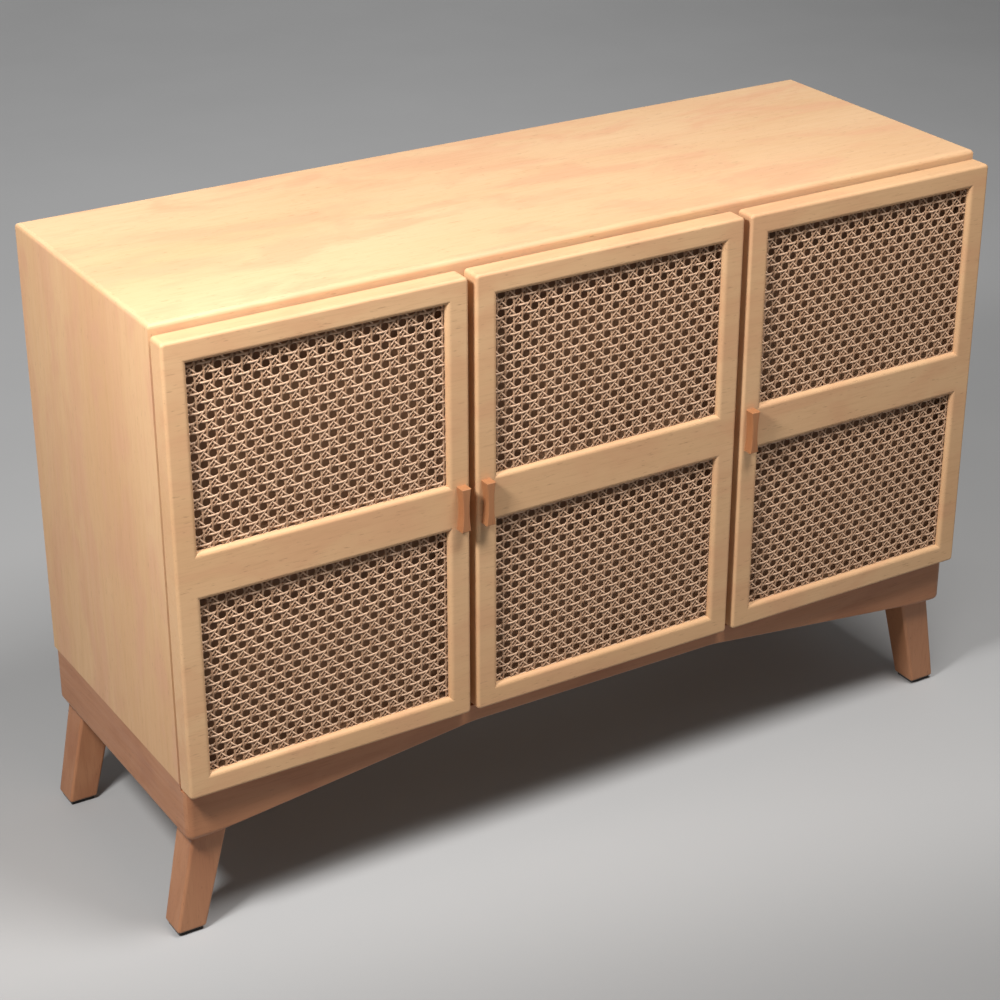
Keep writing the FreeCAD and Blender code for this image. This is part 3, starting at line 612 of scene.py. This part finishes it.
def makeFloor(look):
    paint = Recipe("palePaintWithPaintedShade")
    spot = paint.place()
    turn = math.radians(look["turn"])

    def along(direction):
        node = paint.add("VectorMath", operation="DOT_PRODUCT")
        paint.put(node.inputs[0], spot)
        paint.put(node.inputs[1], direction)
        return node.outputs["Value"]

    depth = along((math.sin(turn) - look["skew"], math.cos(turn), 0))
    sideways = along((math.cos(turn), -math.sin(turn), 0))
    cloud = paint.noise(spot, *look["cloudNoise"])
    # painted shade and light: pale far in front, darkest a little in front of the object, paler again
    # behind it
    colour = paint.mix(paint.ramp(depth, *look["farToNear"]), look["far"], look["near"])
    colour = paint.mix(paint.ramp(depth, *look["nearToMiddle"]), colour, look["middle"])
    colour = paint.mix(paint.ramp(depth, *look["middleToFar"]), colour, look["far"])
    colour = paint.mix(paint.ramp(cloud, *look["cloudLayer"]), colour, look["near"])
    seen = seenDirectly(paint.tree)
    colour = paint.mix(seen, look["bounce"], colour)
    onward = paint.ramp(depth, *look["glowAlong"])
    distant = paint.times(onward, paint.ramp(sideways, *look["glowAcross"]))
    glow = paint.times(paint.times(distant, seen), look["glow"])
    rough = paint.ramp(cloud, *noiseMiddle, *look["roughness"])
    paint.surface(colour, None, rough, Emission_Strength=glow, Emission_Color=(1.0, 1.0, 1.0))
    half = look["half"]
    corners = [(-half, -half, 0), (half, -half, 0), (half, half, 0), (-half, half, 0)]
    mesh = bpy.data.meshes.new("floorSweep")
    mesh.from_pydata(corners, [], [(0, 1, 2, 3)])
    mesh.materials.append(paint.material)
    floor = bpy.data.objects.new("floorSweep", mesh)
    scene.collection.objects.link(floor)


makeFloor(floorLook)
print("floor laid")


# lights: a soft box overhead, a little in front, and a smaller one close by on the left

lamps = {
    "overheadBox": {
        "at": (0.25, -1.0, 2.8),
        "aim": (0.0, -0.1, 0.4),
        "size": (0.9, 0.8),
        "power": 55,
    },
    "leftBox": {
        "at": (-1.45, -0.64, 1.78),
        "aim": (0.0, 0.0, 0.4),
        "size": (0.36, 0.36),
        "power": 40,
    },
}
worldLook = {"colour": (1.0, 1.0, 1.0), "strength": 0.15, "backdrop": 0.42}

for name, lamp in lamps.items():
    light = bpy.data.lights.new(name, "AREA")
    light.shape = "RECTANGLE"
    light.size, light.size_y = lamp["size"]
    light.energy = lamp["power"]
    holder = bpy.data.objects.new(name, light)
    holder.location = lamp["at"]
    aim = Vector(lamp["aim"]) - Vector(lamp["at"])
    holder.rotation_euler = aim.to_track_quat("-Z", "Y").to_euler()
    scene.collection.objects.link(holder)

world = bpy.data.worlds.new("studio")
world.use_nodes = True
sky = world.node_tree
backdrop = sky.nodes["Background"]
backdrop.inputs["Color"].default_value = (*worldLook["colour"], 1.0)
level = sky.nodes.new("ShaderNodeMapRange")  # paler where it is seen than as a light
level.inputs["To Min"].default_value = worldLook["strength"]
level.inputs["To Max"].default_value = worldLook["backdrop"]
sky.links.new(seenDirectly(sky), level.inputs["Value"])
sky.links.new(level.outputs["Result"], backdrop.inputs["Strength"])
scene.world = world
scene.view_settings.view_transform = "Standard"
print("lights set")


# camera at the photograph's place

shot = {
    "at": (-1.5491, -2.4623, 1.8085),
    "turn": -31.57,
    "tilt": 26.132,
    "lens": 85.95,
    "sensor": 36.0,
}
lensData = bpy.data.cameras.new("shotCamera")
lensData.lens = shot["lens"]
lensData.sensor_width = shot["sensor"]
camera = bpy.data.objects.new("shotCamera", lensData)
camera.location = shot["at"]
camera.rotation_euler = (math.radians(90 - shot["tilt"]), 0, math.radians(shot["turn"]))
scene.collection.objects.link(camera)
scene.camera = camera
print("camera placed")
